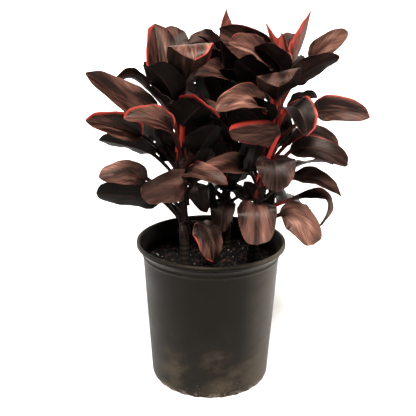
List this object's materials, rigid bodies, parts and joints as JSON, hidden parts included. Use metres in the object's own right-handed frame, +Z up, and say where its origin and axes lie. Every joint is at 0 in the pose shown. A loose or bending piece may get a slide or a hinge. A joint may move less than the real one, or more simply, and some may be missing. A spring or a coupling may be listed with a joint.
{
  "type": "potted cordyline plant",
  "caption": "Potted cordyline: leafy canes of broad, rolled, dark burgundy leaves with coral margins, standing in a black nursery pot of potting mix.",
  "frame": {"origin": "on the ground, under the middle of the pot", "axes": "+Z up along the plant; the front, the picture's side, faces -Y and +X is to its right"},
  "size_m": [0.4416, 0.3244, 0.6221],
  "materials": {
    "pot": "matte black, a little scuffed and dusty",
    "soil": "moist dark potting mix with pale specks",
    "cane": "ringed brown bark",
    "foliage": "satin dark burgundy with coral red margins and leaf stalks",
    "new_leaves": "satin coral red young leaves"
  },
  "bodies": {
    "root": {"pot": "pot", "soil": "soil", "cane_left": "cane", "foliage_left": "foliage", "new_leaves_left": "new_leaves", "cane_right": "cane", "foliage_right": "foliage", "new_leaves_right": "new_leaves", "cane_middle": "cane", "foliage_middle": "foliage", "new_leaves_middle": "new_leaves"}
  },
  "joints": []
}
